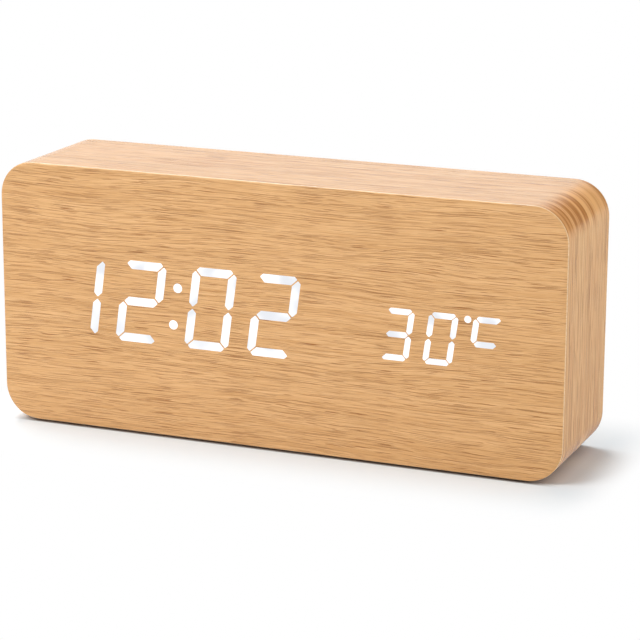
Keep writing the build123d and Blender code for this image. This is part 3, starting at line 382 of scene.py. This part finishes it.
def face_veneer(name, node, seed):
    """The sheet on the front or back. Its own cut edge shows round it as a pale line, lightened further as a
    painted highlight.
    """
    surface, colour = oak(
        name, front_coordinates, seed, (OAK_PALE, OAK_DEEP),
        width=0.17, stretch=1.1, contrast=1.0, depth=0.03, roughness=0.22,
    )
    low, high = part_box(node)
    outer = max(-low.y, high.y) / MILLIMETRE
    depth = surface.math("SUBTRACT", outer, surface.math("ABSOLUTE", surface.split(surface.place)[1]))
    # Painted highlight: the cut edge is made paler than the wood, as if the eased edge caught the light
    edge = surface.ramp(depth, *(share * EDGE_SOFTENING for share in EDGE_LINE_AND_HIGHLIGHT_ENDS))
    surface.set(base_color=surface.mix(edge, colour, OAK_EDGE_AND_HIGHLIGHT))
    return surface


def edge_veneer():
    """The band's oak. Round the corners the bent veneer's grain opens into broad pale and deep streaks, in
    colours darkened as a painted shade.
    """
    surface, colour = oak(
        "oak_band", band_coordinates, 83.0, (OAK_BAND_PALE, OAK_BAND_DEEP),
        width=0.31, stretch=1.7, contrast=1.05, depth=0.05, roughness=0.16,
    )
    along, across = band_coordinates(surface)
    x, _, z = surface.split(surface.place)
    low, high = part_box("wrap_veneer")
    past_x = surface.math("SUBTRACT", surface.math("ABSOLUTE", x), high.x / MILLIMETRE - CORNER_RADIUS)
    above = surface.math("SUBTRACT", z, (high.z + low.z) / 2 / MILLIMETRE)
    straight_z = (high.z - low.z) / 2 / MILLIMETRE - CORNER_RADIUS
    past_z = surface.math("SUBTRACT", surface.math("ABSOLUTE", above), straight_z)
    into_bend = surface.math("MINIMUM", past_x, past_z)
    bent = surface.ramp(into_bend, 0.0, BENT_FADE * CORNER_RADIUS, 0.0, BENT_SHARE)
    flat = surface.join(along, across, 5.0)
    broad = surface.noise(BENT_BROAD_SIZE, flat, detail=1.0, seed=29.0)
    thin = surface.noise(BENT_THIN_SIZE, flat, detail=1.0, seed=31.0)
    opened = surface.total(broad, BENT_BROAD_WEIGHT, thin, BENT_THIN_WEIGHT)
    # Painted shade: the bend's grain colours are darker than the band's, standing in for the shade round the
    # corner
    figure = surface.mix(surface.ramp(opened, *BENT_FIGURE_ENDS), OAK_BENT_SHADED_DEEP, OAK_BENT_SHADED_PALE)
    surface.set(base_color=surface.mix(bent, colour, figure))
    return surface


def fibreboard():
    """Raw fibreboard: a felt of short brown fibres."""
    surface = Surface("fibreboard")
    felt = surface.noise((0.5, 0.5, 0.5), detail=4.0, roughness=0.65)
    clouds = surface.noise((7, 7, 7), detail=2.0, seed=4)
    mixed = surface.total(clouds, 0.5, felt, 0.7)
    brown = surface.mix(surface.ramp(mixed, 0.4, 0.8), srgb(150, 116, 80), srgb(196, 164, 122))
    surface.set(base_color=brown, roughness=0.85)
    surface.relief(felt, 0.06)
    return surface


def display_light():
    """A lit segment: white, with softly greyer places scattered over it."""
    surface = Surface("display_light")
    pool = surface.noise((4.6, 4.6, 4.6), detail=0.0, seed=6)
    glow = surface.mix(surface.ramp(pool, 0.34, 0.8), WHITE, srgb(216, 218, 224))
    surface.set(base_color=(0.12, 0.12, 0.12, 1.0), roughness=0.45)
    surface.set(emission_color=glow, emission_strength=1.0)
    return surface


def moulded(name, colour, shade, roughness, grain, depth, seed):
    """Moulded plastic or rubber, with a slight change of tone and an etched grain, which is grain
    millimetres fine and depth millimetres deep."""
    surface = Surface(name)
    clouds = surface.noise((9, 9, 9), detail=2.0, seed=seed + 2)
    etch = surface.noise((grain, grain, grain), detail=3.0, roughness=0.6, seed=seed)
    mixed = surface.total(etch, 0.6, clouds, 0.5)
    surface.set(base_color=surface.mix(surface.ramp(mixed, 0.35, 0.8), shade, colour))
    smoothest = roughness - PLASTIC_SWING
    roughest = roughness + PLASTIC_SWING
    surface.set(roughness=surface.ramp(etch, *NOISE_SPAN, smoothest, roughest))
    surface.relief(etch, depth)
    return surface


def plated(name, colour, shade, roughness, mark_size, depth, seed):
    """Bright metal, with fine drawn or tumbled marks of that size and duller clouds."""
    surface = Surface(name)
    clouds = surface.noise((4, 4, 4), detail=3.0, seed=seed + 2)
    marks = surface.noise(mark_size, detail=3.0, roughness=0.6, seed=seed)
    surface.set(base_color=surface.mix(surface.ramp(clouds, *CLOUD_SPAN), colour, shade), metallic=1.0)
    mixed = surface.total(marks, 0.5, clouds, 0.5)
    smoothest = roughness - METAL_SMOOTHER
    roughest = roughness + METAL_ROUGHER
    surface.set(roughness=surface.ramp(mixed, *NOISE_SPAN, smoothest, roughest))
    surface.relief(marks, depth)
    return surface


def circuit_board():
    """Green solder mask over traces, with tinned pads on a grid."""
    surface = Surface("circuit_board")
    x, _, z = surface.split(surface.place)
    flat = surface.join(x, z, 0.0)
    _, choice = surface.cells((BOARD_PATCH, BOARD_PATCH, 1), flat, randomness=0.8, seed=3)
    level = surface.math("PINGPONG", z, BOARD_PITCH / 4)
    upright = surface.math("PINGPONG", x, BOARD_PITCH / 4)
    turned = surface.math("GREATER_THAN", choice, 0.5)
    lines = surface.node("Mix", data_type="FLOAT")
    surface.put(lines.inputs[0], turned)
    surface.put(lines.inputs[2], level)
    surface.put(lines.inputs[3], upright)
    trace = surface.ramp(lines.outputs[0], *TRACE_ENDS)
    pad_gap, pad_luck = surface.cells((BOARD_PITCH, BOARD_PITCH, 1), flat, randomness=0.0, seed=0.5)
    has_pad = surface.ramp(pad_luck, *PAD_LUCK_ENDS)
    pads = surface.math("MULTIPLY", surface.ramp(pad_gap, *PAD_ENDS), has_pad)
    mask = surface.mix(trace, srgb(12, 78, 42), srgb(30, 116, 64))
    surface.set(base_color=surface.mix(pads, mask, srgb(198, 196, 188)))
    surface.set(metallic=pads, roughness=surface.ramp(pads, 0.0, 1.0, 0.32, 0.38))
    surface.relief(surface.math("ADD", trace, pads), 0.03)
    return surface


def led_chip():
    """A lit lamp chip under mottled yellow phosphor."""
    surface = Surface("led_chip")
    mottle = surface.noise((0.3, 0.3, 0.3), detail=2.0)
    yellow = surface.mix(surface.ramp(mottle, 0.35, 0.65), srgb(246, 232, 150), srgb(236, 208, 96))
    surface.set(base_color=yellow)
    surface.set(roughness=0.35, emission_color=srgb(255, 250, 236), emission_strength=0.6)
    surface.relief(mottle, 0.01)
    return surface


def shrunk_film(name, colour, shade, smoothest, seed):
    """Shrunk film over metal: glossy, with faint drawn ripples. Returns the surface and its colour."""
    surface = Surface(name)
    ripples = surface.noise(FILM_RIPPLE_SIZE, detail=2.0, seed=seed)
    surface.set(roughness=surface.ramp(ripples, *NOISE_SPAN, smoothest, FILM_ROUGHEST))
    surface.set(coat_weight=FILM_COAT, coat_roughness=FILM_COAT_ROUGHNESS)
    surface.relief(ripples, 0.02)
    return surface, surface.mix(surface.ramp(ripples, *CLOUD_SPAN), colour, shade)


def capacitor_sleeve():
    """A capacitor's plain dark film."""
    surface, film = shrunk_film(
        "capacitor_sleeve", srgb(36, 44, 84), srgb(26, 32, 64),
        smoothest=0.22, seed=11,
    )
    surface.set(base_color=film)
    return surface


def cell_jacket():
    """A cell's printed film, which ends short of its bare metal ends, with a pale ring by the nub end."""
    surface, film = shrunk_film(
        "cell_jacket", srgb(46, 74, 104), srgb(36, 60, 88),
        smoothest=0.24, seed=13,
    )
    low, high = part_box("battery_cells")
    x, y, _ = surface.split(surface.place)
    back_row = surface.math("GREATER_THAN", y, (low.y + high.y) / 2 / MILLIMETRE)
    way = surface.math("MULTIPLY_ADD", back_row, -2.0, 1.0)
    inward = surface.math("SUBTRACT", high.x / MILLIMETRE, surface.math("MULTIPLY", way, x))
    from_nub = surface.math("FLOORED_MODULO", inward, CELL_PITCH)
    film_end = CELL_PITCH - CELL_BARE_AT_BASE
    at_base = surface.ramp(from_nub, film_end - CELL_SOFTNESS, film_end)
    at_nub = surface.ramp(from_nub, CELL_BARE_AT_NUB, CELL_BARE_AT_NUB - CELL_SOFTNESS)
    bare = surface.math("MAXIMUM", at_base, at_nub)
    from_ring = surface.math("ABSOLUTE", surface.math("SUBTRACT", from_nub, CELL_RING_PLACE))
    in_ring = surface.ramp(from_ring, CELL_RING, CELL_RING - CELL_SOFTNESS)
    film = surface.mix(in_ring, film, srgb(214, 216, 218))
    surface.set(base_color=surface.mix(bare, film, srgb(206, 204, 198)), metallic=bare)
    return surface


def slot_finishes():
    """Each of the record's material slots with its finish."""
    near_black = srgb(34, 34, 36)
    soft_black = srgb(24, 24, 26)
    return {
        "front_veneer": face_veneer("oak_front", "front_veneer", 11.0),
        "edge_veneer": edge_veneer(),
        "back_veneer": face_veneer("oak_back", "back_veneer", 47.0),
        "fibreboard": fibreboard(),
        "foot_rubber": moulded(
            "foot_rubber", srgb(44, 44, 45), srgb(32, 32, 33),
            roughness=0.82, grain=0.25, depth=0.02, seed=1,
        ),
        "display_light": display_light(),
        "white_plastic": moulded(
            "white_plastic", srgb(240, 240, 238), srgb(226, 226, 222),
            roughness=0.5, grain=0.3, depth=0.01, seed=2,
        ),
        "circuit_board": circuit_board(),
        "led_chip": led_chip(),
        "chip_epoxy": moulded(
            "chip_epoxy", srgb(46, 46, 48), srgb(34, 34, 36),
            roughness=0.6, grain=0.12, depth=0.012, seed=3,
        ),
        "nickel_plate": plated(
            "nickel_plate", srgb(216, 212, 202), srgb(190, 186, 176),
            roughness=0.26, mark_size=(0.2, 0.2, 0.2), depth=0.004, seed=4,
        ),
        "cream_nylon": moulded(
            "cream_nylon", srgb(232, 226, 206), srgb(216, 208, 184),
            roughness=0.48, grain=0.3, depth=0.012, seed=5,
        ),
        "zinc_steel": plated(
            "zinc_steel", srgb(200, 204, 208), srgb(168, 172, 178),
            roughness=0.3, mark_size=(0.3, 0.3, 0.3), depth=0.006, seed=6,
        ),
        "black_plastic": moulded(
            "black_plastic", near_black, soft_black,
            roughness=0.5, grain=0.2, depth=0.012, seed=7,
        ),
        "button_plastic": moulded(
            "button_plastic", near_black, soft_black,
            roughness=0.38, grain=0.16, depth=0.008, seed=8,
        ),
        "bay_plastic": moulded(
            "bay_plastic", near_black, soft_black,
            roughness=0.55, grain=0.22, depth=0.02, seed=9,
        ),
        "bare_aluminium": plated(
            "bare_aluminium", srgb(214, 216, 218), srgb(190, 192, 196),
            roughness=0.3, mark_size=(2, 0.1, 0.1), depth=0.004, seed=10,
        ),
        "capacitor_sleeve": capacitor_sleeve(),
        "lead_insulation": moulded(
            "lead_insulation", srgb(190, 40, 34), srgb(166, 30, 26),
            roughness=0.45, grain=0.4, depth=0.01, seed=12,
        ),
        "cell_jacket": cell_jacket(),
    }


def dress_nodes(finishes):
    """Gives each node of the model the finish of its material slot."""
    for part in frame["record"]["subparts"]:
        mesh = frame["nodes"][part["node"]].data
        mesh.materials.clear()
        mesh.materials.append(finishes[part["material_slot"]].material)


def make_camera():
    """The camera that frames the box as the photograph does."""
    azimuth, elevation, roll = (math.radians(v) for v in (CAMERA_AZIMUTH, CAMERA_ELEVATION, CAMERA_ROLL))
    level = math.cos(elevation)
    back = Vector((math.sin(azimuth) * level, -math.cos(azimuth) * level, math.sin(elevation)))
    right = Vector((math.cos(azimuth), math.sin(azimuth), 0.0))
    up = back.cross(right)
    rolled_right = math.cos(roll) * right + math.sin(roll) * up
    rolled_up = math.cos(roll) * up - math.sin(roll) * right
    aim = Vector((0.0, 0.0, AIM_HEIGHT)) + AIM_RIGHT * rolled_right + AIM_UP * rolled_up
    lens = bpy.data.cameras.new("camera")
    lens.lens = LENS
    lens.sensor_width = SENSOR
    lens.clip_start, lens.clip_end = CAMERA_CLIP
    camera = bpy.data.objects.new("camera", lens)
    turn = Matrix((rolled_right, rolled_up, back)).transposed()
    camera.matrix_world = Matrix.Translation(aim + CAMERA_DISTANCE * back) @ turn.to_4x4()
    bpy.context.scene.collection.objects.link(camera)
    bpy.context.scene.camera = camera


def softbox(name, place, size, watts):
    """A square lamp that faces the box."""
    lamp = bpy.data.lights.new(name, "AREA")
    lamp.shape = "SQUARE"
    lamp.size = size
    lamp.energy = watts
    holder = bpy.data.objects.new(name, lamp)
    holder.location = place
    holder.rotation_euler = (Vector(LAMP_AIM) - Vector(place)).to_track_quat("-Z", "Y").to_euler()
    bpy.context.scene.collection.objects.link(holder)


def make_world():
    """An even sky. Reflections see a white backdrop on the left and a dim room on the right, and the
    camera sees white."""
    world = bpy.data.worlds.new("sky")
    world.use_nodes = True
    nodes, links = world.node_tree.nodes, world.node_tree.links

    def ramp(value, ends, levels):
        made = nodes.new("ShaderNodeMapRange")
        links.new(value, made.inputs["Value"])
        for socket, level in zip(made.inputs[1:5], (*ends, *levels)):
            if isinstance(level, bpy.types.NodeSocket):
                links.new(level, socket)
            else:
                socket.default_value = level
        return made.outputs[0]

    rays = nodes.new("ShaderNodeLightPath").outputs
    direction = nodes.new("ShaderNodeSeparateXYZ")
    links.new(nodes.new("ShaderNodeTexCoord").outputs["Generated"], direction.inputs[0])
    reflected = ramp(direction.outputs["X"], BACKDROP_ENDS, (BACKDROP_STRENGTH, DIM_STRENGTH))
    strength = ramp(rays["Is Glossy Ray"], (0.0, 1.0), (SKY_STRENGTH, reflected))
    strength = ramp(rays["Is Transmission Ray"], (0.0, 1.0), (strength, 1.0))
    strength = ramp(rays["Is Camera Ray"], (0.0, 1.0), (strength, 1.0))
    background = nodes["Background"]
    background.inputs["Color"].default_value = WHITE
    links.new(strength, background.inputs["Strength"])
    bpy.context.scene.world = world


def make_floor():
    """A pale floor that keeps the shadow close round the object, with a painted shadow under the box, and
    turns to plain white away from it.
    """
    surface = Surface("floor")
    x, y, _ = surface.split(surface.place)
    outsides = []
    past = []
    for value, edge, reach in ((x, cad_box[1].x, SHADOW_REACH_X), (y, cad_box[1].y, SHADOW_REACH_Y)):
        outside = surface.math("SUBTRACT", surface.math("ABSOLUTE", value), edge / MILLIMETRE)
        outsides.append(outside)
        past.append(surface.math("DIVIDE", surface.math("MAXIMUM", outside, 0.0), reach))
    squares = surface.math("ADD", surface.math("POWER", past[0], 2.0), surface.math("POWER", past[1], 2.0))
    away = surface.math("SQRT", squares)
    # Painted shadow: the floor's colour is darkened under the box and fades out past its outline
    painted_shadow_x = surface.ramp(outsides[0], -PAINTED_SHADOW_FADE_X, 0.0, 1.0, 0.0)
    painted_shadow_y = surface.ramp(outsides[1], -PAINTED_SHADOW_FADE_Y, 0.0, 1.0, 0.0)
    painted_shadow = surface.math("MULTIPLY", painted_shadow_x, painted_shadow_y)
    surface.set(base_color=surface.mix(painted_shadow, FLOOR_COLOUR, FLOOR_PAINTED_SHADOW))
    surface.set(roughness=0.9, specular_IOR_level=0.1)
    rays = surface.node("LightPath")
    seen = surface.math("MAXIMUM", rays.outputs["Is Camera Ray"], rays.outputs["Is Transmission Ray"])
    share = surface.math("MULTIPLY", surface.ramp(away, 0.0, 1.0), seen)
    mirrored = rays.outputs["Is Glossy Ray"]
    white = surface.node("Emission")
    reflected = surface.ramp(x, *FLOOR_REFLECTED_ENDS, FLOOR_REFLECTED_LEFT, FLOOR_REFLECTED_RIGHT)
    surface.put(white.inputs["Strength"], surface.ramp(mirrored, 0.0, 1.0, 1.0, reflected))
    blend = surface.node("MixShader")
    surface.put(blend.inputs[0], surface.math("MAXIMUM", share, mirrored))
    surface.put(blend.inputs[1], surface.shader.outputs[0])
    surface.put(blend.inputs[2], white.outputs[0])
    surface.put(surface.tree.nodes["Material Output"].inputs["Surface"], blend.outputs[0])
    half = FLOOR_HALF
    corners = [(-half, -half, 0), (half, -half, 0), (half, half, 0), (-half, half, 0)]
    mesh = bpy.data.meshes.new("floor")
    mesh.from_pydata(corners, [], [(0, 1, 2, 3)])
    mesh.materials.append(surface.material)
    floor = bpy.data.objects.new("floor", mesh)
    bpy.context.scene.collection.objects.link(floor)


dress_nodes(slot_finishes())
make_camera()
make_world()
for lamp_name, lamp in LAMPS.items():
    softbox(lamp_name, *lamp)
make_floor()
bpy.context.scene.view_settings.view_transform = "Standard"
